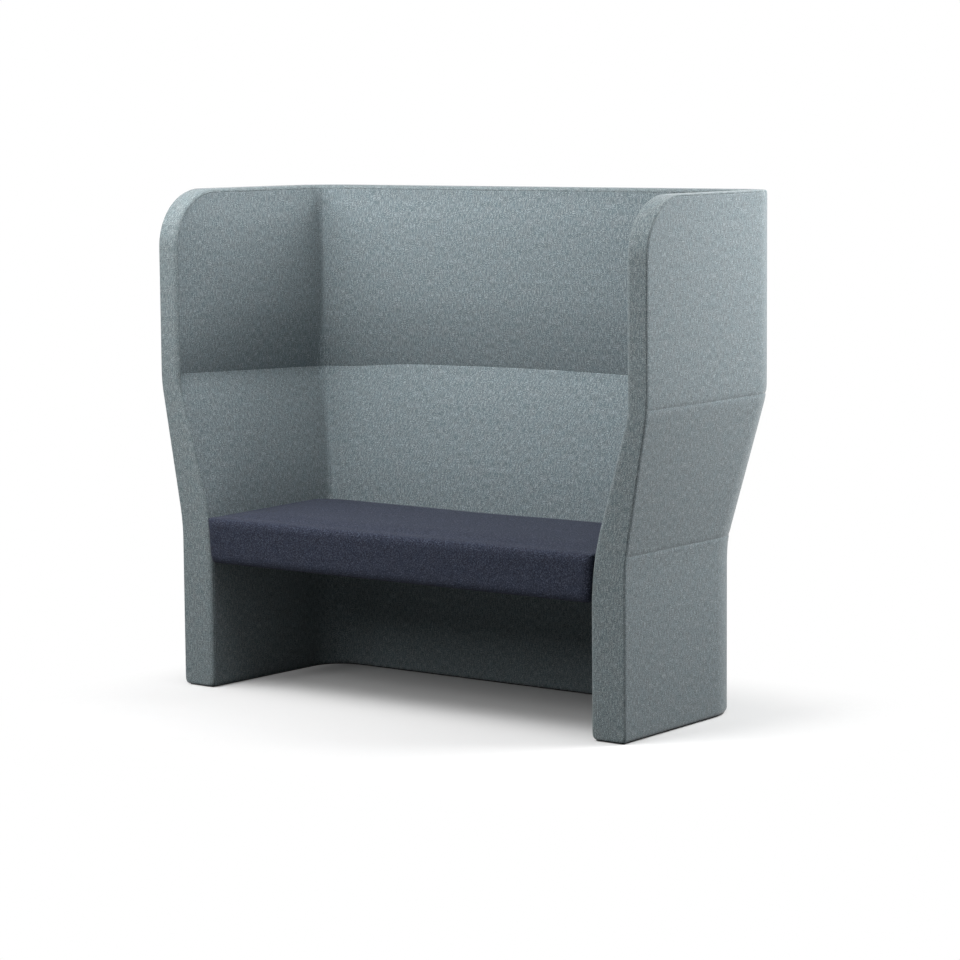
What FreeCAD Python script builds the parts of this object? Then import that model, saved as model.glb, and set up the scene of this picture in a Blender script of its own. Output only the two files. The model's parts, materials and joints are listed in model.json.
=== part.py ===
import FreeCAD, Part
import math
import os
import Sketcher
from FreeCAD import Placement, Rotation, Vector

# High-back sofa: a U-shaped upholstered wall on the floor with a seat slab between its sides.
# X runs to the right of a viewer who faces the sofa, the front faces -Y, Z is up.
# The origin lies on the floor under the middle of the overall box.

doc = FreeCAD.newDocument("HighBackSofa")
UP = Vector(0, 0, 1)

# Driving dimensions in millimetres, angles in degrees
SIZES = (
    ("overall_height", 1300, "floor to the crown of the top band"),
    ("wall_low_half", 707, "half width outside, below the seat, at the front"),
    ("wall_high_half", 773, "half width outside, above the lean, at the front"),
    ("wall_low_thick", 99, "side wall thickness below the seat"),
    ("wall_high_thick", 59, "side wall thickness above the lean"),
    ("back_low_depth", 578, "front plane to the outside of the back, below the seat"),
    ("back_high_depth", 632, "front plane to the outside of the back, above the lean"),
    ("back_low_thick", 95, "back thickness below the seat"),
    ("back_high_thick", 60, "back thickness above the lean"),
    ("splay_angle", 1.5, "plan angle by which each side opens to the front"),
    ("outer_kink_low", 440, "height where the outside starts to lean"),
    ("outer_kink_high", 800, "height where the outside stands upright again"),
    ("outer_soft", 22, "half height of the outside bends"),
    ("outer_seam_low", 449, "height of the lower seam across the outer cover"),
    ("outer_seam_high", 799, "height of the upper seam across the outer cover"),
    ("inner_kink_low", 423, "height where the inside starts to lean"),
    ("inner_kink_high", 785, "height where the inside stands upright again"),
    ("inner_soft_low", 53, "half height of the lower inside bend"),
    ("inner_soft_high", 25, "half height of the upper inside bend"),
    ("outer_corner_low", 170, "rear corner radius outside, below the lean"),
    ("outer_corner_high", 130, "rear corner radius outside, above the lean"),
    ("inner_corner_low", 80, "rear corner radius inside, under the seat"),
    ("inner_corner_high", 25, "rear corner radius inside, above the seat"),
    ("top_corner_radius", 150, "radius of the top front corner of each side"),
    ("cover_thick", 9, "outer cover with its thin foam"),
    ("seam_depth", 3, "depth of the sewn seams across the outer cover"),
    ("seam_half", 5, "half height of a sewn seam"),
    ("panel_thick", 4, "bent plywood facing panels"),
    ("pad_low_thick", 30, "inner pad below the lean"),
    ("pad_high_thick", 20, "inner pad above the lean"),
    ("pad_crown", 5, "swell of the upper pads"),
    ("pad_seam", 820, "height of the seam between lower and upper pads"),
    ("pad_draw", 12, "depth by which the pads are drawn in at their seam"),
    ("pad_roll_high", 90, "height over which an upper pad rolls into the seam"),
    ("pad_roll_low", 24, "height over which a lower pad rolls into the seam"),
    ("band_thick", 13, "edge band with its foam, at its crown"),
    ("band_crown", 9, "rise of the band between its two seams"),
    ("fit_gap", 0.3, "clearance between soft and rigid layers"),
    ("rib_thick", 21, "plywood of the ribs and gussets"),
    ("rib_gap", 0.5, "clearance of a rib to the facing panels"),
    ("rib_land", 12, "straight run of a gusset before its curve"),
    ("rail_height", 56, "height of the rails"),
    ("seat_rail_thick", 18, "thickness of the seat rail in the back"),
    ("rail_end_gap", 1.5, "clearance at the ends of the side rails"),
    ("mid_rib_spacing", 320, "distance between the two middle ribs of the back"),
    ("former_width", 60, "width of the curved former at the top front corner"),
    ("base_height", 6, "height of the base strip"),
    ("base_inset", 10, "set-back of the base strip from the fabric"),
    ("seat_top", 451, "floor to the crown of the seat"),
    ("seat_bottom", 336, "floor to the underside of the seat"),
    ("seat_proud", 8, "seat front beyond the front plane of the walls"),
    ("seat_gap", 2, "clearance of the seat to the walls"),
    ("seat_crown", 8, "rise of the seat top towards its middle"),
    ("seat_round", 28, "edge radius round the seat top"),
    ("seat_end_round", 20, "plan radius of the front corners of the seat"),
    ("seat_skirt", 10, "padding round the seat frame"),
    ("seat_foam", 62, "foam above the seat board"),
    ("board_thick", 12, "plywood seat board"),
    ("frame_thick", 30, "thickness of the seat frame rails"),
    ("lining_thick", 1, "cloth under the seat"),
    ("vent_diameter", 30, "vent holes of the seat board"),
    ("vent_count", 6, "number of vent holes"),
    ("bolt_diameter", 8, "seat bolts"),
    ("bolt_head", 16, "diameter of the seat bolt heads"),
    ("bolt_head_height", 5, "height of the seat bolt heads"),
    ("sleeve_diameter", 18, "spacer sleeves round the seat bolts"),
    ("insert_diameter", 11, "threaded inserts in the seat rails"),
    ("insert_length", 20, "length of the threaded inserts"),
    ("bore_gap", 0.2, "radial clearance of bolts, sleeves and inserts"),
    ("bolt_edge", 95, "distance of the outer side bolts from the seat ends"),
    ("screw_diameter", 4, "base screws"),
    ("screw_head", 8, "diameter of the base screw heads"),
    ("screw_length", 30, "length of the base screws"),
    ("screw_recess", 1, "depth of the base screw heads below the strip"),
)
sheet = doc.addObject("Spreadsheet::Sheet", "Sizes")
for row, (alias, value, note) in enumerate(SIZES, start=1):
    sheet.set("A%d" % row, alias)
    sheet.set("B%d" % row, str(value))
    sheet.setAlias("B%d" % row, alias)
    sheet.set("C%d" % row, note)
doc.recompute()


class Size:
    """A length: its number and the formula that ties it to the sheet."""

    def __init__(self, number, formula):
        self.number = float(number)
        self.formula = formula

    def __float__(self):
        return self.number

    def __add__(self, other):
        other = as_size(other)
        return Size(self.number + other.number, "(%s + %s)" % (self.formula, other.formula))

    def __sub__(self, other):
        other = as_size(other)
        return Size(self.number - other.number, "(%s - %s)" % (self.formula, other.formula))

    def __mul__(self, other):
        other = as_size(other)
        return Size(self.number * other.number, "(%s * %s)" % (self.formula, other.formula))

    def __truediv__(self, other):
        other = as_size(other)
        return Size(self.number / other.number, "(%s / %s)" % (self.formula, other.formula))

    def __neg__(self):
        return Size(-self.number, "(-%s)" % self.formula)


def as_size(value):
    if isinstance(value, Size):
        return value
    return Size(value, repr(float(value)))


def size(alias):
    return Size(sheet.get(alias), "Sizes.%s" % alias)


# Values worked out from the driving dimensions
GAP = size("fit_gap")
BASE = size("base_height")
HEIGHT = size("overall_height")
FRONT = (size("seat_proud") - size("back_high_depth")) / 2
SPLAY = math.radians(float(size("splay_angle")))
BAND_INNER = size("band_thick") + GAP
CORE_TOP = HEIGHT - BAND_INNER
FRONT_RIB_TOP = HEIGHT - size("top_corner_radius")
SKIN_OUT = size("cover_thick") + size("panel_thick") + GAP * 2
SKIN_IN_LOW = size("pad_low_thick") + size("panel_thick") + GAP * 2
SKIN_IN_HIGH = size("pad_high_thick") + size("panel_thick") + GAP * 2
OUTER_KINKS = (
    size("outer_kink_low"),
    size("outer_kink_high"),
    size("outer_soft"),
    size("outer_soft"),
)
INNER_KINKS = (
    size("inner_kink_low"),
    size("inner_kink_high"),
    size("inner_soft_low"),
    size("inner_soft_high"),
)


def lean(low, high, kinks):
    """Wall profile from the floor up: upright, leaning between two eased bends, upright."""
    kink_low, kink_high, soft_low, soft_high = kinks
    slope = (high - low) / (kink_high - kink_low)
    return [
        (BASE, low),
        (kink_low - soft_low, low),
        (kink_low + soft_low, low + slope * soft_low),
        (kink_high - soft_high, high - slope * soft_high),
        (kink_high + soft_high, high),
        (HEIGHT, high),
    ]


def value_at(profile, z):
    for (z0, v0), (z1, v1) in zip(profile, profile[1:]):
        if z <= float(z1):
            share = (z - float(z0)) / (float(z1) - float(z0))
            return float(v0) + share * (float(v1) - float(v0))
    return float(profile[-1][1])


SIDE_OUT = lean(size("wall_low_half"), size("wall_high_half"), OUTER_KINKS)
SIDE_IN = lean(
    size("wall_low_half") - size("wall_low_thick"),
    size("wall_high_half") - size("wall_high_thick"),
    INNER_KINKS,
)
BACK_OUT = lean(size("back_low_depth"), size("back_high_depth"), OUTER_KINKS)
BACK_IN = lean(
    size("back_low_depth") - size("back_low_thick"),
    size("back_high_depth") - size("back_high_thick"),
    INNER_KINKS,
)
PAD = lean(size("pad_low_thick"), size("pad_high_thick"), INNER_KINKS)
CORNER_OUT = lean(size("outer_corner_low"), size("outer_corner_high"), OUTER_KINKS)
CORNER_IN = [
    (BASE, size("inner_corner_low")),
    (size("seat_bottom"), size("inner_corner_low")),
    (size("seat_top"), size("inner_corner_high")),
    (HEIGHT, size("inner_corner_high")),
]


def core_profiles(outside, inside):
    """Space for the timber core between the two facing panels of a wall."""
    low_out = outside[0][1] - SKIN_OUT
    high_out = outside[-1][1] - SKIN_OUT
    low_in = inside[0][1] + SKIN_IN_LOW
    high_in = inside[-1][1] + SKIN_IN_HIGH
    return lean(low_out, high_out, OUTER_KINKS), lean(low_in, high_in, INNER_KINKS)


SIDE_CORE_OUT, SIDE_CORE_IN = core_profiles(SIDE_OUT, SIDE_IN)
BACK_CORE_OUT, BACK_CORE_IN = core_profiles(BACK_OUT, BACK_IN)


def levels_between(low, high, *profiles):
    inside = {float(z) for profile in profiles for z, _ in profile if low < float(z) < high}
    return sorted(inside | {low, high})


# Plan geometry of a right-hand rear corner, turned in short straight steps
CORNER_STEPS = 8


class Corner:
    """Side line, round corner and back line of one layer at one height."""

    def __init__(self, half, depth, radius, z):
        front = float(FRONT)
        self.z = z
        self.radius = radius
        self.yc = front + depth - radius
        self.xc = half - (self.yc - front) * math.tan(SPLAY) - radius / math.cos(SPLAY)
        self.front = Vector(half, front, z)
        self.side = self.at(0.0)
        self.back = self.at(1.0)

    def at(self, share):
        angle = SPLAY + share * (math.pi / 2 - SPLAY)
        x = self.xc + self.radius * math.cos(angle)
        y = self.yc + self.radius * math.sin(angle)
        return Vector(x, y, self.z)


    def turn(self, first, last):
        """Points round the corner between two shares of its turn."""
        steps = round(CORNER_STEPS * abs(last - first))
        return [self.at(first + (last - first) * step / steps) for step in range(steps + 1)]


def mirrored(point):
    return Vector(-point.x, point.y, point.z)


def closed(points):
    return Part.makePolygon(points + points[:1])


def with_mirror(points):
    """Outline of a right-hand half and its mirror image."""
    return closed(points + [mirrored(point) for point in reversed(points)])


def outer_corner(z, inset):
    half = value_at(SIDE_OUT, z) - inset
    depth = value_at(BACK_OUT, z) - inset
    return Corner(half, depth, value_at(CORNER_OUT, z) - inset, z)


def inner_corner(z, outset):
    half = value_at(SIDE_IN, z) + outset
    depth = value_at(BACK_IN, z) + outset
    return Corner(half, depth, value_at(CORNER_IN, z) + outset, z)


def side_strip(outer, inner):
    """Plan of a straight side layer, from the front to the start of the corner."""
    return closed([outer.front, outer.side, inner.side, inner.front])


def back_strip(outer, inner):
    """Plan of a back layer that turns both rear corners up to the sides."""
    return with_mirror(inner.turn(1, 0) + outer.turn(0, 1))


def side_mitre(outer, inner):
    """Plan of a side layer that turns half of the rear corner."""
    return closed([inner.front] + inner.turn(0, 0.5) + outer.turn(0.5, 0) + [outer.front])


def back_mitre(outer, inner):
    """Plan of a back layer that turns half of both rear corners."""
    return with_mirror(inner.turn(1, 0.5) + outer.turn(0.5, 1))


RIB = size("rib_thick")
LOW_CORNERS = (outer_corner(float(BASE), float(SKIN_OUT)), inner_corner(float(BASE), float(SKIN_IN_LOW)))
REAR_RIB_Y = as_size(min(corner.side.y for corner in LOW_CORNERS)) - size("rib_land") - RIB
END_RIB_X = as_size(min(corner.back.x for corner in LOW_CORNERS)) - size("rib_land") - RIB


def side_x(half, y):
    return float(half) - (float(y) - float(FRONT)) * math.tan(SPLAY)


def side_board(outer, inner):
    """Plan of a side panel, from the front to the far face of the rear rib."""
    end_y = float(REAR_RIB_Y + RIB)
    ends = [Vector(side_x(corner.front.x, end_y), end_y, corner.z) for corner in (outer, inner)]
    return closed([outer.front] + ends + [inner.front])


def back_board(outer, inner):
    """Plan of a back panel, up to the far faces of both end ribs."""
    end_x = float(END_RIB_X + RIB)
    return with_mirror([Vector(end_x, corner.back.y, corner.z) for corner in (inner, outer)])


def loft(sections):
    return Part.makeLoft(sections, True, True)


TURN_STEPS = 6


def turn_rim(inset):
    """Points of the large top front corner in the side view, from the front to the top."""
    radius = float(size("top_corner_radius"))
    points = []
    for step in range(TURN_STEPS + 1):
        angle = math.pi / 2 * step / TURN_STEPS
        outward = Vector(0, -math.cos(angle), math.sin(angle))
        centre = Vector(0, float(FRONT) + radius, float(HEIGHT) - radius)
        points.append((centre + outward * (radius - inset), outward))
    return points


def envelope(inset):
    """Prism of the side view: upright front, large top front corner, flat top."""
    reach = float(size("wall_high_half")) * 2
    rim = [point for point, _ in turn_rim(inset)]
    far_high = Vector(0, reach, rim[-1].z)
    far_low = Vector(0, reach, -float(BASE))
    near_low = Vector(0, rim[0].y, -float(BASE))
    outline = Part.makePolygon([near_low] + rim + [far_high, far_low, near_low])
    outline.translate(Vector(-reach, 0, 0))
    return Part.Face(outline).extrude(Vector(2 * reach, 0, 0))


INSIDE_BANDS = envelope(float(BAND_INNER))
nodes = []


def keep(obj, label):
    obj.Label = label
    nodes.append(obj)
    return obj


def feature(label, shape):
    obj = doc.addObject("Part::Feature", label)
    obj.Shape = shape
    obj.Placement = Placement()
    return keep(obj, label)


def mirror(shape):
    return shape.mirror(Vector(0, 0, 0), Vector(1, 0, 0))


def both_sides(name, shape):
    feature(name + "_right", shape)
    feature(name + "_left", mirror(shape))


# Small round pieces and their bores are drawn with flat sides
ROUND_SIDES = 16


def ring(radius, place, direction):
    turn = Rotation(Vector(0, 0, 1), direction)
    points = []
    for step in range(ROUND_SIDES):
        angle = 2 * math.pi * step / ROUND_SIDES
        points.append(place + turn.multVec(Vector(math.cos(angle), math.sin(angle), 0)) * radius)
    return closed(points)


def rod(radius, length, place, direction):
    return Part.Face(ring(radius, place, direction)).extrude(direction * length)


# Seat bolts: where they run, and what they bore through
SEAT_HALF = SIDE_IN[0][1] - size("seat_gap")
SEAT_DEPTH = BACK_IN[0][1] - size("seat_gap")
FRAME_TOP = size("seat_top") - size("seat_foam") - size("board_thick")
FRAME_BOTTOM = size("seat_bottom") + size("lining_thick")
BOLT_Z = (FRAME_BOTTOM + FRAME_TOP) / 2
SIDE_BOLT_YS = (
    FRONT + size("bolt_edge"),
    FRONT + SEAT_DEPTH - size("inner_corner_low") - size("bolt_edge") / 2,
)
BACK_BOLT_XS = (-SEAT_HALF / 2, as_size(0), SEAT_HALF / 2)


def bolt_tool(x0, x1, radius, y):
    return rod(radius, x1 - x0, Vector(x0, float(y), float(BOLT_Z)), Vector(1, 0, 0))


def back_bolt_tool(y0, y1, radius, x):
    return rod(radius, y1 - y0, Vector(float(x), y0, float(BOLT_Z)), Vector(0, 1, 0))


def side_bores(radius):
    """Bores for the bolts of the right-hand side, through seat end and wall core."""
    x0 = float(SEAT_HALF) / 2
    x1 = float(SIDE_CORE_OUT[0][1]) + radius
    return Part.makeCompound([bolt_tool(x0, x1, radius, y) for y in SIDE_BOLT_YS])


def back_bores(radius):
    y0 = float(FRONT) + float(SEAT_DEPTH) / 2
    y1 = float(FRONT) + float(BACK_CORE_OUT[0][1]) + radius
    return Part.makeCompound([back_bolt_tool(y0, y1, radius, x) for x in BACK_BOLT_XS])


BOLT_BORE = float(size("bolt_diameter")) / 2 + float(size("bore_gap"))
SLEEVE_BORE = float(size("sleeve_diameter")) / 2 + float(size("bore_gap"))
INSERT_BORE = float(size("insert_diameter")) / 2 + float(size("bore_gap"))


# Outer covers: padded fabric, drawn in along the two sewn seams that follow the bends
def cover_levels():
    half = float(size("seam_half"))
    seams = [float(size("outer_seam_low")), float(size("outer_seam_high"))]
    plain = levels_between(float(BASE), float(CORE_TOP) + float(GAP), SIDE_OUT)
    clear = [z for z in plain if all(abs(z - seam) > half for seam in seams)]
    drawn = [(z, 0.0) for z in clear]
    for seam in seams:
        drawn += [(seam - half, 0.0), (seam, float(size("seam_depth"))), (seam + half, 0.0)]
    return sorted(drawn)


def outer_cover(plan):
    thick = float(size("cover_thick"))
    sections = []
    for z, draw in cover_levels():
        sections.append(plan(outer_corner(z, draw), outer_corner(z, thick)))
    return loft(sections).common(INSIDE_BANDS)


both_sides("outer_cover", outer_cover(side_strip))
feature("outer_cover_back", outer_cover(back_strip))


# Facing panels of bent plywood
def outer_panel(plan):
    near = float(size("cover_thick") + GAP)
    far = near + float(size("panel_thick"))
    zs = levels_between(float(BASE), float(CORE_TOP) + float(GAP), SIDE_OUT)
    return loft([plan(outer_corner(z, near), outer_corner(z, far)) for z in zs]).common(INSIDE_BANDS)


both_sides("outer_panel", outer_panel(side_board))
feature("outer_panel_back", outer_panel(back_board))


def inner_panel(plan):
    zs = levels_between(float(BASE), float(CORE_TOP) + float(GAP), SIDE_IN)
    sections = []
    for z in zs:
        near = value_at(PAD, z) + float(GAP)
        far = near + float(size("panel_thick"))
        sections.append(plan(inner_corner(z, far), inner_corner(z, near)))
    return loft(sections).common(INSIDE_BANDS)


both_sides("inner_panel", inner_panel(side_board).cut(side_bores(BOLT_BORE)))
feature("inner_panel_back", inner_panel(back_board).cut(back_bores(BOLT_BORE)))

# Inner pads: drawn into the seam between lower and upper pads, upper pads with a slight swell
ROLL_SHARES = (0.0, 0.12, 0.35, 0.65, 1.0)
SWELL_SHARES = (0.35, 0.6, 0.85)


def roll_draw(share):
    """Depth of the pad face at a share of its roll, 0 in the seam and 1 at the flat."""
    return float(size("pad_draw")) * (1 - math.sqrt(1 - (1 - share) ** 2))


def upper_pad_levels():
    seam = float(size("pad_seam"))
    top = float(CORE_TOP) + float(GAP)
    levels = {seam + share * float(size("pad_roll_high")) for share in ROLL_SHARES}
    levels |= {seam + share * (top - seam) for share in SWELL_SHARES} | {top}
    faces = []
    for z in sorted(levels):
        roll = min(1.0, (z - seam) / float(size("pad_roll_high")))
        share = (z - seam) / (top - seam)
        swell = float(size("pad_crown")) * 4 * share * (1 - share)
        faces.append((z, roll_draw(roll) - swell))
    return faces


def lower_pad_levels():
    seam = float(size("pad_seam"))
    start = seam - float(size("pad_roll_low"))
    faces = [(z, 0.0) for z in levels_between(float(BASE), start, SIDE_IN, CORNER_IN)]
    for share in reversed(ROLL_SHARES[:-1]):
        faces.append((seam - share * float(size("pad_roll_low")), roll_draw(share)))
    return faces


def inner_pad(plan, levels):
    sections = []
    for z, draw in levels:
        sections.append(plan(inner_corner(z, value_at(PAD, z)), inner_corner(z, draw)))
    return loft(sections).common(INSIDE_BANDS)


both_sides("inner_pad_upper", inner_pad(side_mitre, upper_pad_levels()))
feature("inner_pad_upper_back", inner_pad(back_mitre, upper_pad_levels()))
both_sides("inner_pad_lower", inner_pad(side_mitre, lower_pad_levels()).cut(side_bores(SLEEVE_BORE)))
feature("inner_pad_lower_back", inner_pad(back_mitre, lower_pad_levels()).cut(back_bores(SLEEVE_BORE)))


# Edge bands: crowned strips up the front, round the top corner and along the top
CROWN_STEPS = 6


def band_section(inner_edge, outer_edge, outward):
    """Closed section between two edges of the wall, crowned along the outward direction."""
    seat = outward * float(size("band_thick"))
    crown = []
    for step in range(CROWN_STEPS + 1):
        share = step / CROWN_STEPS
        sink = float(size("band_crown")) * (2 * share - 1) ** 2
        crown.append(inner_edge + (outer_edge - inner_edge) * share - outward * sink)
    return closed([inner_edge - seat] + crown + [outer_edge - seat])


def edge_band():
    inner_top = inner_corner(float(HEIGHT), 0.0)
    outer_top = outer_corner(float(HEIGHT), 0.0)
    sections = []
    for z in levels_between(float(BASE), float(FRONT_RIB_TOP), SIDE_OUT, SIDE_IN):
        inner_edge = Vector(value_at(SIDE_IN, z), float(FRONT), z)
        outer_edge = Vector(value_at(SIDE_OUT, z), float(FRONT), z)
        sections.append(band_section(inner_edge, outer_edge, Vector(0, -1, 0)))
    for rim, outward in turn_rim(0.0)[1:]:
        inner_edge = Vector(side_x(inner_top.front.x, rim.y), rim.y, rim.z)
        outer_edge = Vector(side_x(outer_top.front.x, rim.y), rim.y, rim.z)
        sections.append(band_section(inner_edge, outer_edge, outward))
    sections.append(band_section(inner_top.side, outer_top.side, UP))
    return loft(sections)


def top_band():
    """Band along the top of the back: a corner, the straight run and the other corner."""
    inner = inner_corner(float(HEIGHT), 0.0)
    outer = outer_corner(float(HEIGHT), 0.0)
    shares = [step / TURN_STEPS for step in range(TURN_STEPS + 1)]
    turn = loft([band_section(inner.at(share), outer.at(share), UP) for share in shares])
    right_end = band_section(inner.back, outer.back, UP)
    left_end = band_section(mirrored(inner.back), mirrored(outer.back), UP)
    return loft([right_end, left_end]).fuse([turn, mirror(turn)]).removeSplitter()


both_sides("edge_band", edge_band())
feature("top_band_back", top_band())


# Base strips: thin black strip set back from the fabric, screwed up into the bottom rails
def base_strip(plan):
    inset = float(size("base_inset"))
    outline = plan(outer_corner(0.0, inset), inner_corner(0.0, inset))
    return Part.Face(outline).extrude(Vector(0, 0, float(BASE))).common(envelope(inset))


def core_middle(out_profile, in_profile):
    return (float(out_profile[0][1]) + float(in_profile[0][1])) / 2


def screw_places():
    """Right-hand side and back places of the base screws."""
    side_half = core_middle(SIDE_CORE_OUT, SIDE_CORE_IN)
    back_y = float(FRONT) + core_middle(BACK_CORE_OUT, BACK_CORE_IN)
    side = [Vector(side_x(side_half, y), float(y), 0) for y in SIDE_BOLT_YS]
    back = [Vector(float(x), back_y, 0) for x in BACK_BOLT_XS]
    return side, back


def screw(place):
    shank = float(size("screw_diameter")) / 2
    head = float(size("screw_head")) / 2
    head_low = place + UP * float(size("screw_recess"))
    head_high = head_low + UP * (head - shank)
    cone = loft([ring(head, head_low, UP), ring(shank, head_high, UP)])
    return cone.fuse(rod(shank, float(size("screw_length")), head_high, UP)).removeSplitter()


def screw_bores(places):
    gap = float(size("bore_gap"))
    shank = float(size("screw_diameter")) / 2 + gap
    head = float(size("screw_head")) / 2 + gap
    depth = float(size("screw_length")) + float(BASE) + gap
    head_depth = float(size("screw_recess")) + head - shank + gap
    bores = []
    for place in places:
        bores.append(rod(shank, depth, place, UP))
        bores.append(rod(head, head_depth, place, UP))
    return Part.makeCompound(bores)


SIDE_SCREWS, BACK_SCREWS = screw_places()
both_sides("base_strip", base_strip(side_strip).cut(screw_bores(SIDE_SCREWS)))
feature("base_strip_back", base_strip(back_strip).cut(screw_bores(BACK_SCREWS)))
ALL_SCREWS = SIDE_SCREWS + [mirrored(place) for place in SIDE_SCREWS] + BACK_SCREWS
feature("base_screws", Part.makeCompound([screw(place) for place in ALL_SCREWS]))


# Shaped plywood, drawn as constrained outlines and padded
def plate_body(label, role, outline, thickness, offset):
    body = doc.addObject("PartDesign::Body", label)
    sketch = body.newObject("Sketcher::SketchObject", label + "_outline")
    plane = [item for item in body.Origin.OriginFeatures if item.Role == role][0]
    sketch.AttachmentSupport = [(plane, "")]
    sketch.MapMode = "FlatFace"
    points = [Vector(float(across), float(up), 0) for across, up in outline]
    count = len(points)
    for index in range(count):
        sketch.addGeometry(Part.LineSegment(points[index], points[(index + 1) % count]), False)
    for index in range(count):
        sketch.addConstraint(Sketcher.Constraint("Coincident", index, 2, (index + 1) % count, 1))
    for index, (across, up) in enumerate(outline):
        for kind, length in (("DistanceX", across), ("DistanceY", up)):
            number = sketch.addConstraint(Sketcher.Constraint(kind, -1, 1, index, 1, float(length)))
            sketch.setExpression("Constraints[%d]" % number, length.formula)
    pad = body.newObject("PartDesign::Pad", label + "_pad")
    pad.Profile = sketch
    pad.setExpression("Length", thickness.formula)
    sketch.Visibility = False
    body.Placement.Base = offset
    return keep(body, label)


def clipped(profile, low, high):
    """Points of a wall profile between two heights, ends included."""
    points = [(z, v) for z, v in profile if float(low) < float(z) < float(high)]
    first = as_size(value_at(profile, float(low)))
    last = as_size(value_at(profile, float(high)))
    start = profile[0][1] if float(low) <= float(profile[1][0]) else first
    end = profile[-1][1] if float(high) >= float(profile[-2][0]) else last
    return [(low, start)] + points + [(high, end)]


def rib_outline(core_out, core_in, low, high, shift, sign):
    gap = size("rib_gap")
    outside = [((v - gap + shift) * sign, z) for z, v in clipped(core_out, low, high)]
    inside = [((v + gap + shift) * sign, z) for z, v in clipped(core_in, low, high)]
    return inside + list(reversed(outside))


FRONT_RIB_Y = FRONT + BAND_INNER

for hand, sign in (("right", 1), ("left", -1)):
    for name, y, top in (("front_rib", FRONT_RIB_Y, FRONT_RIB_TOP), ("rear_rib", REAR_RIB_Y, CORE_TOP)):
        drift = (FRONT - y - RIB / 2) * math.tan(SPLAY)
        outline = rib_outline(SIDE_CORE_OUT, SIDE_CORE_IN, BASE, top, drift, sign)
        plate_body("%s_%s" % (name, hand), "XZ_Plane", outline, RIB, Vector(0, float(y + RIB), 0))

RAIL = size("rail_height")
TOP_RAIL_Z = CORE_TOP - RAIL
BOTTOM_RAIL_TOP = BASE + RAIL
SEAT_RAIL_Z = BOLT_Z - RAIL / 2
BACK_SEAT_RAIL_IN = as_size(value_at(BACK_CORE_IN, float(SEAT_RAIL_Z + RAIL))) + GAP
BACK_RIBS = (
    ("back_rib_right", END_RIB_X, BASE, CORE_TOP),
    ("back_rib_left", -END_RIB_X - RIB, BASE, CORE_TOP),
    ("back_rib_mid_right", size("mid_rib_spacing") / 2 - RIB / 2, BOTTOM_RAIL_TOP, TOP_RAIL_Z),
    ("back_rib_mid_left", -size("mid_rib_spacing") / 2 - RIB / 2, BOTTOM_RAIL_TOP, TOP_RAIL_Z),
)


def box(label, lengths, corner, turn=0.0):
    obj = doc.addObject("Part::Box", label)
    for name, length in zip(("Length", "Width", "Height"), lengths):
        obj.setExpression(name, length.formula)
    for axis, place in zip("xyz", corner):
        obj.setExpression("Placement.Base." + axis, place.formula)
    obj.Placement.Rotation = Rotation(Vector(0, 0, 1), math.degrees(turn))
    return obj


def cut(label, base, tool):
    obj = doc.addObject("Part::Cut", label)
    obj.Base = base
    obj.Tool = tool
    return keep(obj, label)


def helper(label, shape):
    obj = doc.addObject("Part::Feature", label)
    obj.Shape = shape
    return obj


# Rails of the back: the seat rail is let into the two middle ribs
back_span = END_RIB_X * 2
seat_rail_blank = box(
    "seat_rail_blank_back",
    (back_span, size("seat_rail_thick"), RAIL),
    (-END_RIB_X, FRONT + BACK_SEAT_RAIL_IN, SEAT_RAIL_Z),
)
seat_rail_notch = box(
    "seat_rail_notch",
    (back_span, size("seat_rail_thick") * 2 + GAP, RAIL + GAP * 2),
    (-END_RIB_X, FRONT + BACK_SEAT_RAIL_IN - size("seat_rail_thick"), SEAT_RAIL_Z - GAP),
)
for label, x, low, high in BACK_RIBS:
    outline = rib_outline(BACK_CORE_OUT, BACK_CORE_IN, low, high, FRONT, 1)
    if "mid" in label:
        blank = plate_body(label + "_blank", "YZ_Plane", outline, RIB, Vector(float(x), 0, 0))
        nodes.remove(blank)
        cut(label, blank, seat_rail_notch)
    else:
        plate_body(label, "YZ_Plane", outline, RIB, Vector(float(x), 0, 0))

back_inserts = helper("seat_rail_bores_back", back_bores(INSERT_BORE))
cut("seat_rail_back", seat_rail_blank, back_inserts)


def back_rail(label, core_z, low):
    inner_y = FRONT + as_size(value_at(BACK_CORE_IN, float(core_z))) + GAP
    outer_y = FRONT + as_size(value_at(BACK_CORE_OUT, float(core_z))) - GAP
    return box(label, (back_span, outer_y - inner_y, RAIL), (-END_RIB_X, inner_y, low))


bottom_back = back_rail("bottom_rail_blank_back", BASE, BASE)
cut("bottom_rail_back", bottom_back, helper("screw_bores_back", screw_bores(BACK_SCREWS)))
keep(back_rail("top_rail_back", HEIGHT, TOP_RAIL_Z), "top_rail_back")


# Rails of the sides, square to the splayed walls
def side_rail(label, hand, core_low, core_high, start_y, low):
    """Rail between a start and the rear rib, inside the core over its own height."""
    inner = as_size(value_at(SIDE_CORE_IN, core_high)) + GAP
    outer = as_size(value_at(SIDE_CORE_OUT, core_low)) - GAP
    start = start_y + size("rail_end_gap")
    thick = (outer - inner) * math.cos(SPLAY)
    length = REAR_RIB_Y - start - size("rail_end_gap")
    near = inner - (start - FRONT) * math.tan(SPLAY)
    if hand == "right":
        corner = (near, start, low)
        return box(label, (thick, length, RAIL), corner, SPLAY)
    corner = (-near - thick * math.cos(SPLAY), start + thick * math.sin(SPLAY), low)
    return box(label, (thick, length, RAIL), corner, -SPLAY)


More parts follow.
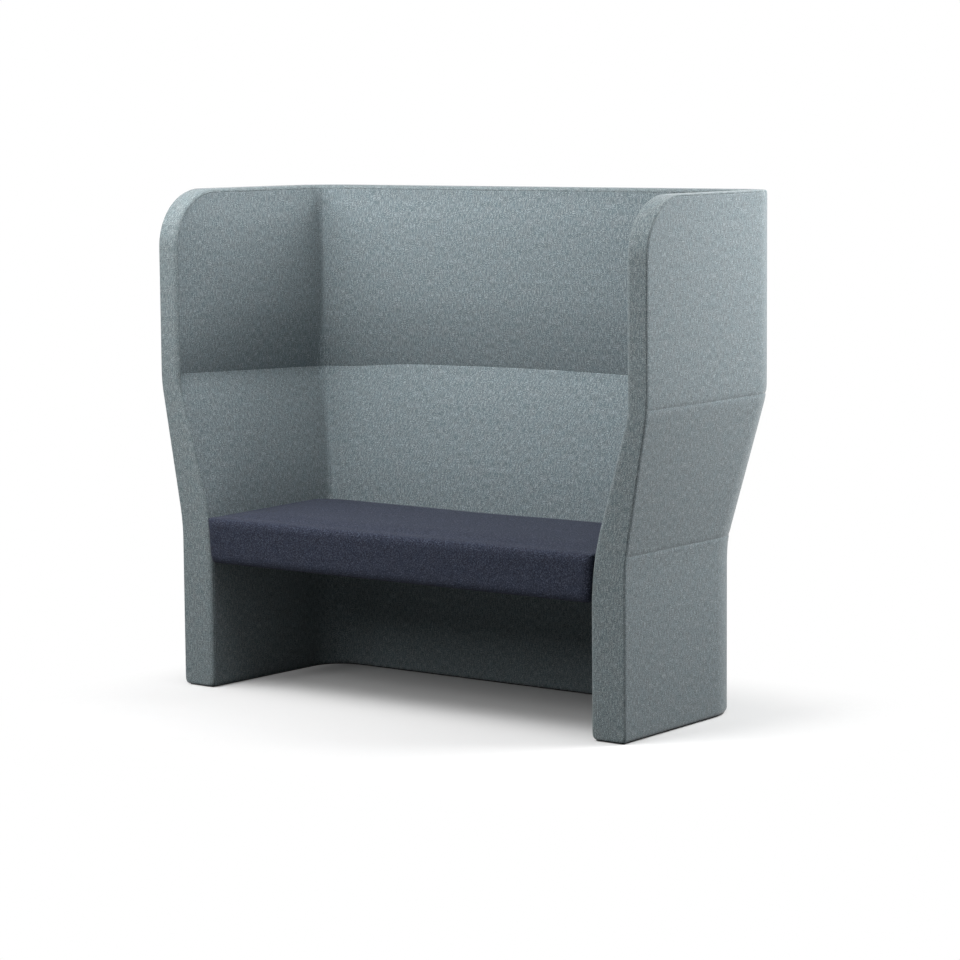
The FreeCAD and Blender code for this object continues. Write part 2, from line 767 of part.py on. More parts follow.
FRONT_RIB_BACK = FRONT_RIB_Y + RIB
FORMER_END = FRONT + size("top_corner_radius")
for hand in ("right", "left"):
    turned = (lambda shape: shape) if hand == "right" else mirror
    rail_zs = (float(SEAT_RAIL_Z), float(SEAT_RAIL_Z + RAIL))
    blank = side_rail("bottom_rail_blank_" + hand, hand, float(BASE), float(BASE), FRONT_RIB_BACK, BASE)
    cut("bottom_rail_" + hand, blank, helper("screw_bores_" + hand, turned(screw_bores(SIDE_SCREWS))))
    blank = side_rail("seat_rail_blank_" + hand, hand, rail_zs[0], rail_zs[1], FRONT_RIB_BACK, SEAT_RAIL_Z)
    cut("seat_rail_" + hand, blank, helper("seat_rail_bores_" + hand, turned(side_bores(INSERT_BORE))))
    top = side_rail("top_rail_" + hand, hand, float(HEIGHT), float(HEIGHT), FORMER_END, TOP_RAIL_Z)
    keep(top, "top_rail_" + hand)


# Curved formers under the large top front corners
def top_former():
    outer = float(size("top_corner_radius")) - float(BAND_INNER + GAP)
    inner = outer - float(size("former_width"))
    near = float(SIDE_CORE_IN[-1][1]) + float(size("rib_gap"))
    far = float(SIDE_CORE_OUT[-1][1]) - float(size("rib_gap"))
    along = Vector(-math.sin(SPLAY), math.cos(SPLAY), 0)
    across = Vector(math.cos(SPLAY), math.sin(SPLAY), 0)
    front = Vector(near, float(FRONT), float(FRONT_RIB_TOP))
    centre = front + along * float(size("top_corner_radius"))
    angles = [math.pi / 2 * step / TURN_STEPS for step in range(TURN_STEPS + 1)]
    rays = [UP * math.sin(angle) - along * math.cos(angle) for angle in angles]
    points = [centre + ray * outer for ray in rays]
    points += [centre + ray * inner for ray in reversed(rays)]
    return Part.Face(closed(points)).extrude(across * (far - near))


both_sides("corner_former", top_former())


# Corner gussets: flat curved formers between the rear rib of a side and the end rib of the back
def gusset(z, pad):
    outer = outer_corner(z, float(size("cover_thick") + GAP))
    inner = inner_corner(z, float(pad + GAP))
    side_y = float(REAR_RIB_Y + RIB + GAP)
    back_x = float(END_RIB_X + RIB + GAP)
    side_ends = [Vector(side_x(corner.front.x, side_y), side_y, z) for corner in (inner, outer)]
    back_ends = [Vector(back_x, corner.back.y, z) for corner in (outer, inner)]
    outline = closed(side_ends + outer.turn(0, 1) + back_ends + inner.turn(1, 0))
    return Part.Face(outline).extrude(UP * float(RIB))


UPRIGHT_HIGH = size("outer_kink_high") + size("outer_soft")
PAD_LOW = size("pad_low_thick")
PAD_HIGH = size("pad_high_thick")
GUSSETS = (
    (BASE, PAD_LOW),
    (size("seat_bottom") - RIB * 2, PAD_LOW),
    (UPRIGHT_HIGH + RIB, PAD_HIGH),
    (CORE_TOP - RIB, PAD_HIGH),
)
both_sides("corner_gussets", Part.makeCompound([gusset(float(z), pad) for z, pad in GUSSETS]))


# Seat slab
END_STEPS = 3


def seat_plan(inset, z):
    """Plan of the seat: straight front, rounded front ends, splayed sides, rounded rear corners."""
    half = float(SEAT_HALF) - inset
    end_round = float(size("seat_end_round"))
    front_y = float(FRONT) - float(size("seat_proud")) + inset
    rear = Corner(half, float(SEAT_DEPTH) - inset, float(size("inner_corner_low")), z)
    turn_y = front_y + end_round
    turn_x = side_x(half, turn_y) - end_round
    points = []
    for step in range(END_STEPS + 1):
        angle = math.pi / 2 * step / END_STEPS
        points.append(Vector(turn_x + end_round * math.sin(angle), turn_y - end_round * math.cos(angle), z))
    return with_mirror(points + rear.turn(0, 1))


def seat_prism(inset, low, high):
    return Part.Face(seat_plan(inset, low)).extrude(UP * (high - low))


def seat_cushion():
    radius = float(size("seat_round"))
    crown = float(size("seat_crown"))
    bottom = float(size("seat_bottom"))
    edge_top = float(size("seat_top")) - crown
    under = radius / 4
    sections = [seat_plan(under, bottom), seat_plan(0.0, bottom + under)]
    edge_steps = 4
    for step in range(edge_steps + 1):
        angle = math.pi / 2 * step / edge_steps
        inset = radius * (1 - math.cos(angle))
        sections.append(seat_plan(inset, edge_top - radius + radius * math.sin(angle)))
    for share, rise in ((0.2, 0.6), (0.4, 1.0)):
        sections.append(seat_plan(radius + share * float(SEAT_DEPTH) / 2, edge_top + crown * rise))
    pocket = seat_prism(float(size("seat_skirt")), bottom, float(FRAME_TOP + size("board_thick")))
    cushion = loft(sections).cut(pocket)
    bores = side_bores(SLEEVE_BORE)
    return cushion.cut(bores).cut(mirror(bores)).cut(back_bores(SLEEVE_BORE))


feature("seat_cushion", seat_cushion())

FRAME_INSET = size("seat_skirt") + GAP
lining = seat_prism(float(FRAME_INSET), float(size("seat_bottom")), float(FRAME_BOTTOM))
feature("seat_underlining", lining)


# Seat board with a row of vent holes
def seat_board():
    label = "seat_board"
    half = SEAT_HALF - FRAME_INSET
    front_y = FRONT - size("seat_proud") + FRAME_INSET
    back_y = FRONT + SEAT_DEPTH - FRAME_INSET
    clip = size("inner_corner_low")
    front_clip = size("seat_end_round")
    slope = math.tan(SPLAY)
    corner_y = back_y - clip
    front_half = half - (front_y + front_clip - FRONT) * slope
    rear_half = half - (corner_y - FRONT) * slope
    right = [
        (front_half - front_clip, front_y),
        (front_half, front_y + front_clip),
        (rear_half, corner_y),
        (rear_half - clip, back_y),
    ]
    left = [(-across, along) for across, along in reversed(right)]
    body = plate_body(label, "XY_Plane", right + left, size("board_thick"), Vector(0, 0, float(FRAME_TOP)))
    doc.recompute()
    sketch = body.newObject("Sketcher::SketchObject", label + "_vent")
    plane = [item for item in body.Origin.OriginFeatures if item.Role == "XY_Plane"][0]
    sketch.AttachmentSupport = [(plane, "")]
    sketch.MapMode = "FlatFace"
    span = SEAT_HALF
    first_x = -span / 2
    vent_y = (front_y + back_y) / 2
    radius = float(size("vent_diameter")) / 2
    circle = Part.Circle(Vector(float(first_x), float(vent_y), 0), Vector(0, 0, 1), radius)
    sketch.addGeometry(circle, False)
    places = (("DistanceX", first_x), ("DistanceY", vent_y))
    for kind, length in places:
        number = sketch.addConstraint(Sketcher.Constraint(kind, -1, 1, 0, 3, float(length)))
        sketch.setExpression("Constraints[%d]" % number, length.formula)
    number = sketch.addConstraint(Sketcher.Constraint("Diameter", 0, 2 * radius))
    sketch.setExpression("Constraints[%d]" % number, size("vent_diameter").formula)
    pocket = body.newObject("PartDesign::Pocket", label + "_holes")
    pocket.Profile = sketch
    pocket.Type = "ThroughAll"
    pocket.Reversed = True
    doc.recompute()
    pattern = body.newObject("PartDesign::LinearPattern", label + "_row")
    pattern.Originals = [pocket]
    pattern.Direction = (sketch, ["H_Axis"])
    pattern.setExpression("Length", span.formula)
    pattern.setExpression("Occurrences", "Sizes.vent_count")
    body.Tip = pattern


seat_board()

# Seat frame rails under the board
FRAME_HEIGHT = FRAME_TOP - FRAME_BOTTOM
FRAME = size("frame_thick")
FRAME_FRONT_Y = FRONT - size("seat_proud") + FRAME_INSET
FRAME_BACK_Y = FRONT + SEAT_DEPTH - FRAME_INSET
FRAME_HALF = SEAT_HALF - FRAME_INSET
FRONT_HALF = FRAME_HALF - size("seat_end_round")
BACK_HALF = FRAME_HALF - SEAT_DEPTH * math.tan(SPLAY) - size("inner_corner_low")
frame_front = box(
    "seat_frame_front",
    (FRONT_HALF * 2, FRAME, FRAME_HEIGHT),
    (-FRONT_HALF, FRAME_FRONT_Y, FRAME_BOTTOM),
)
keep(frame_front, "seat_frame_front")
frame_back = box(
    "seat_frame_back_blank",
    (BACK_HALF * 2, FRAME, FRAME_HEIGHT),
    (-BACK_HALF, FRAME_BACK_Y - FRAME, FRAME_BOTTOM),
)
cut("seat_frame_back", frame_back, helper("seat_frame_bores_back", back_bores(BOLT_BORE)))
END_START = FRAME_FRONT_Y + FRAME + size("rail_end_gap")
END_LENGTH = FRAME_BACK_Y - size("inner_corner_low") - size("rail_end_gap") - END_START
END_NEAR = FRAME_HALF - FRAME - (END_START - FRONT) * math.tan(SPLAY)
end_lengths = (FRAME, END_LENGTH, FRAME_HEIGHT)
end_right = box("seat_frame_right_blank", end_lengths, (END_NEAR, END_START, FRAME_BOTTOM), SPLAY)
end_left = box(
    "seat_frame_left_blank",
    end_lengths,
    (-END_NEAR - FRAME * math.cos(SPLAY), END_START + FRAME * math.sin(SPLAY), FRAME_BOTTOM),
    -SPLAY,
)
cut("seat_frame_right", end_right, helper("seat_frame_bores_right", side_bores(BOLT_BORE)))
cut("seat_frame_left", end_left, helper("seat_frame_bores_left", mirror(side_bores(BOLT_BORE))))


# Seat bolts with spacer sleeves through the pads and threaded inserts in the seat rails
def bolt(tip, length, direction):
    shank = rod(float(size("bolt_diameter")) / 2, length, tip - direction * length, direction)
    head_height = float(size("bolt_head_height"))
    head_place = tip - direction * (length + head_height)
    head = rod(float(size("bolt_head")) / 2, head_height, head_place, direction)
    return shank.fuse(head).removeSplitter()


def tube(start, length, outer_diameter, direction):
    outside = rod(outer_diameter / 2, length, start, direction)
    return outside.cut(rod(BOLT_BORE, length, start, direction))


def fixings():
    bolts = []
    sleeves = []
    inserts = []
    sleeve = float(size("sleeve_diameter"))
    insert = float(size("insert_diameter"))
    insert_length = float(size("insert_length"))
    rail_top = float(SEAT_RAIL_Z + RAIL)
    for y in SIDE_BOLT_YS:
        drift = side_x(0.0, y)
        inside = float(FRAME_HALF - FRAME - GAP) + drift
        frame_face = float(FRAME_HALF + GAP) + drift
        panel_face = value_at(SIDE_IN, float(BOLT_Z)) + value_at(PAD, float(BOLT_Z)) + drift
        rail_face = value_at(SIDE_CORE_IN, rail_top) + float(GAP) + drift
        x_axis = Vector(1, 0, 0)
        place = Vector(0, float(y), float(BOLT_Z))
        tip = rail_face + insert_length
        bolts.append(bolt(place + x_axis * tip, tip - inside, x_axis))
        sleeves.append(tube(place + x_axis * frame_face, panel_face - frame_face, sleeve, x_axis))
        inserts.append(tube(place + x_axis * rail_face, insert_length, insert, x_axis))
    for group in (bolts, sleeves, inserts):
        group += [mirror(shape) for shape in group]
    for x in BACK_BOLT_XS:
        inside = float(FRAME_BACK_Y - FRAME - GAP)
        frame_face = float(FRAME_BACK_Y + GAP)
        panel_face = float(FRONT) + value_at(BACK_IN, float(BOLT_Z)) + value_at(PAD, float(BOLT_Z))
        rail_face = float(FRONT + BACK_SEAT_RAIL_IN)
        y_axis = Vector(0, 1, 0)
        place = Vector(float(x), 0, float(BOLT_Z))
        depth = float(size("seat_rail_thick"))
        tip = rail_face + depth
        bolts.append(bolt(place + y_axis * tip, tip - inside, y_axis))
        sleeves.append(tube(place + y_axis * frame_face, panel_face - frame_face, sleeve, y_axis))
        inserts.append(tube(place + y_axis * rail_face, depth, insert, y_axis))
    return bolts, sleeves, inserts


SEAT_BOLTS, SEAT_SLEEVES, SEAT_INSERTS = fixings()
feature("seat_bolts", Part.makeCompound(SEAT_BOLTS))
feature("seat_sleeves", Part.makeCompound(SEAT_SLEEVES))
feature("seat_inserts", Part.makeCompound(SEAT_INSERTS))

# Test every object, then write one file for each sub-part
doc.recompute()
for obj in doc.Objects:
    if "Invalid" in obj.State or "Error" in obj.State:
        raise RuntimeError("failed object: %s %s" % (obj.Label, obj.State))
for node in nodes:
    if node.Shape.isNull() or not node.Shape.isValid() or node.Shape.Volume <= 0:
        raise RuntimeError("bad shape: " + node.Label)

os.makedirs("parts", exist_ok=True)
for node in nodes:
    node.Shape.exportStep("parts/%s.step" % node.Label)
print("%d sub-parts written" % len(nodes))
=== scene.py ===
import json
import math

import bpy
from mathutils import Matrix, Vector


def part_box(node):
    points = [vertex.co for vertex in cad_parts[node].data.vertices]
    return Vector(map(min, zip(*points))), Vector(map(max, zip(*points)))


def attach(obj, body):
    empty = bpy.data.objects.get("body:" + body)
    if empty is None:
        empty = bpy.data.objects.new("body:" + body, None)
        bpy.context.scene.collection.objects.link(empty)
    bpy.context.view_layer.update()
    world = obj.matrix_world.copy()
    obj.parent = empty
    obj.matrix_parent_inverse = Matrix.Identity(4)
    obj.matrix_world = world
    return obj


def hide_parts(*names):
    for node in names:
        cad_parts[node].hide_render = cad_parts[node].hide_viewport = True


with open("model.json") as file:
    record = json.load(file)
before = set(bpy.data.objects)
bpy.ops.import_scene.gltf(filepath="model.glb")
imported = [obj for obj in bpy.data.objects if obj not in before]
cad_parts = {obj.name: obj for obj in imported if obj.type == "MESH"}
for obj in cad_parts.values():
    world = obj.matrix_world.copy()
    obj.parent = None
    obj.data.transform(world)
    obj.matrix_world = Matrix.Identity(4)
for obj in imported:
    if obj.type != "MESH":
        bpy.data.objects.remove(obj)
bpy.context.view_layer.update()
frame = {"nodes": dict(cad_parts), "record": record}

scene = bpy.context.scene
print("frame loaded:", len(frame["nodes"]), "nodes")

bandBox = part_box("edge_band_right")
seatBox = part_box("seat_cushion")
clothHang = 0.003  # how far the cloth hangs over the base strip

# the two faces of the wall, in metres: low and high values with a lean between the two bends
wall = {
    "front": bandBox[0].y,
    "floor": bandBox[0].z - clothHang,
    "top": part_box("top_band_back")[1].z,
    "splay": math.radians(1.5),
    "topCorner": 0.150,
    "padSeam": 0.820,
}
outerFace = {
    "into": -1,  # from the fabric into the wall
    "edge": 0.0038,  # where its panels start behind the front and below the top
    "half": (0.707, bandBox[1].x),
    "depth": (0.578, 0.632),
    "radius": (0.170, 0.130),
    "turnHeights": (0.430, 0.800),  # between these the corner radius changes
    "bends": (0.430, 0.800),
    "soft": (0.045, 0.030),
}
innerFace = {
    "into": 1,
    "edge": 0.0103,
    "half": (bandBox[0].x, 0.714),
    "depth": (0.483, 0.572),
    "radius": (0.080, 0.025),
    "turnHeights": (seatBox[0].z, seatBox[1].z),
    "bends": (0.423, 0.785),
    "soft": (0.095, 0.025),
}


def ramp(rise, soft):
    if rise <= -soft:
        return 0.0
    if rise >= soft:
        return rise
    return (rise + soft) ** 2 / (4 * soft)  # parabola that eases the bend


def leaning(face, values, z):
    low, high = values
    start, end = face["bends"]
    softLow, softHigh = face["soft"]
    slope = (high - low) / (end - start)
    return low + slope * (ramp(z - start, softLow) - ramp(z - end, softHigh))


def cornerRadius(face, z):
    low, high = face["radius"]
    start, end = face["turnHeights"]
    share = min(1.0, max(0.0, (z - start) / (end - start)))
    return low + (high - low) * share


def cornerCentre(face, z, inset):
    half = leaning(face, face["half"], z) + face["into"] * inset
    depth = leaning(face, face["depth"], z) + face["into"] * inset
    radius = cornerRadius(face, z) + face["into"] * inset
    y = wall["front"] + depth - radius
    x = half - (y - wall["front"]) * math.tan(wall["splay"]) - radius / math.cos(wall["splay"])
    return x, y, radius, half, depth


def nearSide(share):
    # the left half of the wall, from 3 to 6, mirrors the right half
    return 6 - share if share > 3 else share


def wallPoint(face, z, share, inset=0.0, start=0.0):
    # share 0 to 1 runs along the right side, to 2 round the corner and to 3 to the middle of the back
    s = nearSide(share)
    cx, cy, radius, half, depth = cornerCentre(face, z, inset)
    if s <= 1:
        near = wall["front"] + start
        y = near + s * (cy + radius * math.sin(wall["splay"]) - near)
        x = half - (y - wall["front"]) * math.tan(wall["splay"])
    elif s <= 2:
        angle = wall["splay"] + (s - 1) * (math.pi / 2 - wall["splay"])
        x = cx + radius * math.cos(angle)
        y = cy + radius * math.sin(angle)
    else:
        x = cx * (3 - s)
        y = wall["front"] + depth
    return Vector((-x if share > 3 else x, y, z))


def mirrorPoint(point):
    return Vector((-point.x, point.y, point.z))


def stations(start, end, step, fine=(), seams=()):
    # evenly spaced places, with closer ones beside both ends and beside the seams
    anchors = [start, end] + list(seams)
    clear = fine[-1] if fine else 0
    count = max(1, round((end - start) / step))
    places = {start, end}
    for index in range(1, count):
        place = start + (end - start) * index / count
        if all(abs(place - anchor) > clear for anchor in anchors):
            places.add(place)
    for anchor in anchors:
        for offset in (0.0,) + tuple(fine):
            for place in (anchor - offset, anchor + offset):
                if start <= place <= end:
                    places.add(place)
    return sorted(places)


def lengthsOf(points):
    lengths = [0.0]
    for before, after in zip(points, points[1:]):
        lengths.append(lengths[-1] + (after - before).length)
    return lengths


def easing(share):
    share = min(1.0, max(0.0, share))
    return share * share * (3 - 2 * share)


def roll(distance, reach, depth, gentle=False):
    # how far the cloth is drawn in beside an edge: a quarter ellipse, or a parabola for a gentle valley
    if distance >= reach:
        return 0.0
    near = 1 - distance / reach
    return depth * (near ** 2 if gentle else 1 - math.sqrt(max(0.0, 1 - near ** 2)))


def newGrid(name, columns, rows):
    bpy.ops.object.select_all(action="DESELECT")
    bpy.ops.mesh.primitive_grid_add(x_subdivisions=columns - 1, y_subdivisions=rows - 1, size=1)
    piece = bpy.context.object
    piece.name = name
    piece.data.name = name
    return piece


def layOut(piece, points, marks):
    # vertices to their places, and the flat cut of the cloth in metres as the UV map
    for vertex, point in zip(piece.data.vertices, points):
        vertex.co = point
    layer = piece.data.uv_layers.active.data
    for loop in piece.data.loops:
        layer[loop.index].uv = marks[loop.vertex_index]
    piece.data.update()


def pick(piece):
    bpy.ops.object.select_all(action="DESELECT")
    bpy.context.view_layer.objects.active = piece
    piece.select_set(True)


def applyModifier(piece, kind, **settings):
    pick(piece)
    modifier = piece.modifiers.new(kind.lower(), kind)
    for key, value in settings.items():
        setattr(modifier, key, value)
    bpy.ops.object.modifier_apply(modifier=modifier.name)


def closeBehind(piece, thickness):
    applyModifier(piece, "SOLIDIFY", thickness=thickness, offset=-1, use_even_offset=False, use_rim=True)


def smoothPiece(piece):
    applyModifier(piece, "SUBSURF", levels=1, render_levels=1)


def faceOutwards(piece, columns, rows, outward):
    # the middle face tells which way an open sheet looks
    middle = piece.data.polygons[(rows // 2) * (columns - 1) + columns // 2]
    if middle.normal.dot(outward) > 0:
        return
    pick(piece)
    bpy.ops.object.mode_set(mode="EDIT")
    bpy.ops.mesh.select_all(action="SELECT")
    bpy.ops.mesh.flip_normals()
    bpy.ops.object.mode_set(mode="OBJECT")


swelling = {"frames": 20, "quality": 4}


def swell(piece, pressure, caps):
    # cloth under air pressure: a point may move as far as its own cap, and one with none is held
    before = [vertex.co.copy() for vertex in piece.data.vertices]
    group = piece.vertex_groups.new(name="held")
    group.add([index for index, cap in enumerate(caps) if cap == 0.0], 1.0, "REPLACE")
    modifier = piece.modifiers.new("swell", "CLOTH")
    cloth = modifier.settings
    cloth.quality = swelling["quality"]
    cloth.use_pressure = True
    cloth.uniform_pressure_force = pressure
    cloth.effector_weights.gravity = 0
    cloth.vertex_group_mass = "held"
    modifier.collision_settings.use_collision = False
    modifier.point_cache.frame_start = 1
    modifier.point_cache.frame_end = swelling["frames"]
    for step in range(1, swelling["frames"] + 1):
        scene.frame_set(step)
    bpy.context.view_layer.objects.active = piece
    bpy.ops.object.modifier_apply(modifier=modifier.name)
    scene.frame_set(1)
    for vertex, old, cap in zip(piece.data.vertices, before, caps):
        move = vertex.co - old
        vertex.co = old + move * min(1.0, cap / max(move.length, 1e-9))
    piece.vertex_groups.clear()


def finishPiece(piece, material, slot, *nodes):
    piece.data.materials.clear()
    piece.data.materials.append(material)
    pick(piece)
    bpy.ops.object.shade_smooth()
    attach(piece, "root")
    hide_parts(*nodes)


def hexColour(code):
    # an sRGB hex colour in linear light
    channels = [int(code[index:index + 2], 16) / 255 for index in (1, 3, 5)]
    linear = [c / 12.92 if c <= 0.04045 else ((c + 0.055) / 1.055) ** 2.4 for c in channels]
    return (*linear, 1.0)


def addNode(owner, kind, inputs=None, **settings):
    node = owner.node_tree.nodes.new(kind)
    for key, value in settings.items():
        setattr(node, key, value)
    for key, value in (inputs or {}).items():
        socket = node.inputs[key]
        if isinstance(value, bpy.types.NodeSocket):
            owner.node_tree.links.new(value, socket)
        else:
            socket.default_value = value
    return node


def newMaterial(name):
    material = bpy.data.materials.new(name)
    material.use_nodes = True
    material.node_tree.nodes.clear()
    return material


def addTones(material, value, stops):
    tones = addNode(material, "ShaderNodeValToRGB", {"Fac": value})
    elements = tones.color_ramp.elements
    while len(elements) < len(stops):
        elements.new(0.5)
    for element, (place, code) in zip(elements, stops):
        element.position = place
        element.color = hexColour(code)
    return tones.outputs["Color"]


def addBump(material, strength, distance, height):
    bump = addNode(material, "ShaderNodeBump", {"Strength": strength, "Distance": distance, "Height": height})
    return bump.outputs["Normal"]


def addSurface(material, inputs):
    shader = addNode(material, "ShaderNodeBsdfPrincipled", inputs)
    addNode(material, "ShaderNodeOutputMaterial", {"Surface": shader.outputs["BSDF"]})


# wool cloth of mixed fibres: matt, with light and dark flecks, faint streaks along the warp and a soft nap
wallWool = {
    "fleck": (0.0022, 0.0028),  # drawn about four times as coarse as real yarn, so that it shows
    "streak": (0.0034, 0.0150),
    "cloudSize": 0.030,
    "stops": ((0.36, "#495458"), (0.46, "#667277"), (0.54, "#768287"), (0.64, "#a4aeb0")),
    "hues": ((0.36, "#67787c"), (0.64, "#7a7a79")),
    "sheen": 0.35,
    "gloss": 0.15,
}
# the bands are cut across the weave and are the same cloth as the walls: their slightly warmer stops are
# painted tone for how this cloth looks in the light from that other direction, and their sheen is weaker
bandWool = {
    **wallWool,
    "stops": ((0.36, "#4b5558"), (0.46, "#677276"), (0.54, "#778285"), (0.64, "#a2abac")),
    "sheen": 0.15,
}
seatWool = {
    "fleck": (0.0022, 0.0024),
    "streak": (0.0030, 0.0050),
    "cloudSize": 0.024,
    "stops": ((0.36, "#191c25"), (0.46, "#2a2e3a"), (0.54, "#343947"), (0.65, "#555b6a")),
    "hues": ((0.36, "#2a3143"), (0.64, "#35353f")),
    "sheen": 0.05,
    "gloss": 0.08,
}
weave = {
    "streakShare": 0.35,
    "hueShare": 0.16,
    "nap": (0.06, 0.0005),  # strength and depth of the bumps
    "roughness": 0.92,
    "sheenRoughness": 0.45,
}


def woolMaterial(name, wool, coordinates):
    material = newMaterial(name)
    where = addNode(material, "ShaderNodeTexCoord").outputs[coordinates]
    fibres = []
    for across, along in (wool["fleck"], wool["streak"]):
        stretched = addNode(material, "ShaderNodeMapping",
                            {"Vector": where, "Scale": (1 / across, 1 / along, 1 / across)})
        noise = addNode(material, "ShaderNodeTexNoise", {
            "Vector": stretched.outputs["Vector"], "Scale": 1.0, "Detail": 1.0, "Roughness": 0.5})
        fibres.append(noise.outputs["Fac"])
    flecks = addNode(material, "ShaderNodeMix",
                     {"Factor": weave["streakShare"], "A": fibres[0], "B": fibres[1]})
    clouds = addNode(material, "ShaderNodeTexNoise", {
        "Vector": where, "Scale": 1 / wool["cloudSize"], "Detail": 3.0, "Roughness": 0.65})
    colour = addNode(material, "ShaderNodeMix", {
        "Factor": weave["hueShare"],
        "A": addTones(material, flecks.outputs["Result"], wool["stops"]),
        "B": addTones(material, clouds.outputs["Fac"], wool["hues"]),
    }, data_type="RGBA", blend_type="MIX")
    addSurface(material, {
        "Base Color": colour.outputs["Result"],
        "Roughness": weave["roughness"],
        "Specular IOR Level": wool["gloss"],
        "Sheen Weight": wool["sheen"],
        "Sheen Roughness": weave["sheenRoughness"],
        "Normal": addBump(material, *weave["nap"], fibres[0]),
    })
    return material


wallCloth = woolMaterial("woven_wool_melange", wallWool, "UV")
bandCloth = woolMaterial("woven_wool_melange_bands", bandWool, "UV")
seatCloth = woolMaterial("felted_wool_navy", seatWool, "Object")


def plasticMaterial():
    # moulded black plastic: fine grain, dull sheen
    grainSize = 0.0008
    material = newMaterial("moulded_black_plastic")
    place = addNode(material, "ShaderNodeTexCoord")
    grain = addNode(material, "ShaderNodeTexNoise",
                    {"Vector": place.outputs["Object"], "Scale": 1 / grainSize, "Detail": 2.0})
    addSurface(material, {
        "Base Color": addTones(material, grain.outputs["Fac"], ((0.35, "#101114"), (0.65, "#1a1b1f"))),
        "Roughness": 0.62,
        "Normal": addBump(material, 0.2, 0.0002, grain.outputs["Fac"]),
    })
    return material


def liningMaterial():
    # spun-bonded lining cloth: black, matt, pressed fibres
    dotPitch = 0.0022
    material = newMaterial("spun_bonded_lining")
    place = addNode(material, "ShaderNodeTexCoord")
    dots = addNode(material, "ShaderNodeTexVoronoi",
                   {"Vector": place.outputs["Object"], "Scale": 1 / dotPitch})
    addSurface(material, {
        "Base Color": addTones(material, dots.outputs["Distance"], ((0.1, "#202124"), (0.6, "#121315"))),
        "Roughness": 0.95,
        "Normal": addBump(material, 0.3, 0.0003, dots.outputs["Distance"]),
    })
    return material


def timberMaterial(name, ringWidth, stops):
    # birch plywood or planed pine: growth rings drawn out along the board
    drawnOut = 0.06
    material = newMaterial(name)
    place = addNode(material, "ShaderNodeTexCoord")
    drawn = addNode(material, "ShaderNodeMapping", {
        "Vector": place.outputs["Object"], "Scale": (1 / ringWidth, 1 / ringWidth, drawnOut / ringWidth)})
    rings = addNode(material, "ShaderNodeTexNoise",
                    {"Vector": drawn.outputs["Vector"], "Scale": 0.5, "Detail": 4.0, "Distortion": 0.6})
    addSurface(material, {
        "Base Color": addTones(material, rings.outputs["Fac"], stops),
        "Roughness": 0.6,
        "Normal": addBump(material, 0.15, 0.0004, rings.outputs["Fac"]),
    })
    return material


def zincMaterial():
    # zinc-plated steel: bright grey with a faint mottle
    mottleSize = 0.003
    material = newMaterial("zinc_plated_steel")
    place = addNode(material, "ShaderNodeTexCoord")
    mottle = addNode(material, "ShaderNodeTexNoise",
                     {"Vector": place.outputs["Object"], "Scale": 1 / mottleSize, "Detail": 3.0})
    addSurface(material, {
        "Base Color": addTones(material, mottle.outputs["Fac"], ((0.3, "#a9adb0"), (0.7, "#c9ccce"))),
        "Metallic": 1.0,
        "Roughness": 0.38,
    })
    return material


rigidFinishes = {
    "base_plastic": plasticMaterial(),
    "lining_cloth": liningMaterial(),
    "plywood": timberMaterial("birch_plywood", 0.004, ((0.3, "#b98f5e"), (0.5, "#cba673"), (0.7, "#dbbd90"))),
    "timber": timberMaterial("planed_pine", 0.007, ((0.3, "#b98a50"), (0.5, "#d3a86c"), (0.7, "#e2c28c"))),
    "zinc_steel": zincMaterial(),
}
for part in frame["record"]["subparts"]:
    finish = rigidFinishes.get(part["material_slot"])
    if finish:
        node = frame["nodes"][part["node"]]
        node.data.materials.clear()
        node.data.materials.append(finish)
print("materials made")

# bands: strips that turn softly into the pads and more sharply to the seam of the outer covers
band = {
    "innerRoll": (0.012, 0.010),  # how wide and how deep the edge turns away
    "outerRoll": (0.0045, 0.0035),
    "backRoll": (0.018, 0.014),  # fuller along the top of the back
    "tuck": 0.007,
    "tuckIn": 0.004,
    "thickness": 0.003,
    "endRoll": (0.006, 0.004),
    "footRoll": (0.016, 0.013),
    "step": 0.012,
    "footFine": (0.0015, 0.004, 0.007, 0.012),
    "endFine": (0.002, 0.005, 0.009),
    "turnShare": 0.06,  # steps round the rear corners and along the back, as shares for wallPoint
    "backShare": 0.02,
    "turnSteps": 7,
    "flatSteps": 8,
}


def bandAcross(width, outerReach):
    # distances from the inner edge, closer together where the strip turns
    innerReach = band["innerRoll"][0]
    turns = [1 - math.cos(math.pi / 2 * step / band["turnSteps"]) for step in range(band["turnSteps"])]
    flat = [step / band["flatSteps"] for step in range(band["flatSteps"] + 1)]
    inner = [innerReach * turn for turn in turns]
    middle = [innerReach + (width - innerReach - outerReach) * share for share in flat]
    outer = [width - outerReach * turn for turn in reversed(turns)]
    return inner + middle + outer


def backRollAt(share):
    # the fuller roll of the back begins where the edge bands end and grows round the corner
    grown = easing(nearSide(share) - 1)
    return tuple(a + (b - a) * grown for a, b in zip(band["outerRoll"], band["backRoll"]))


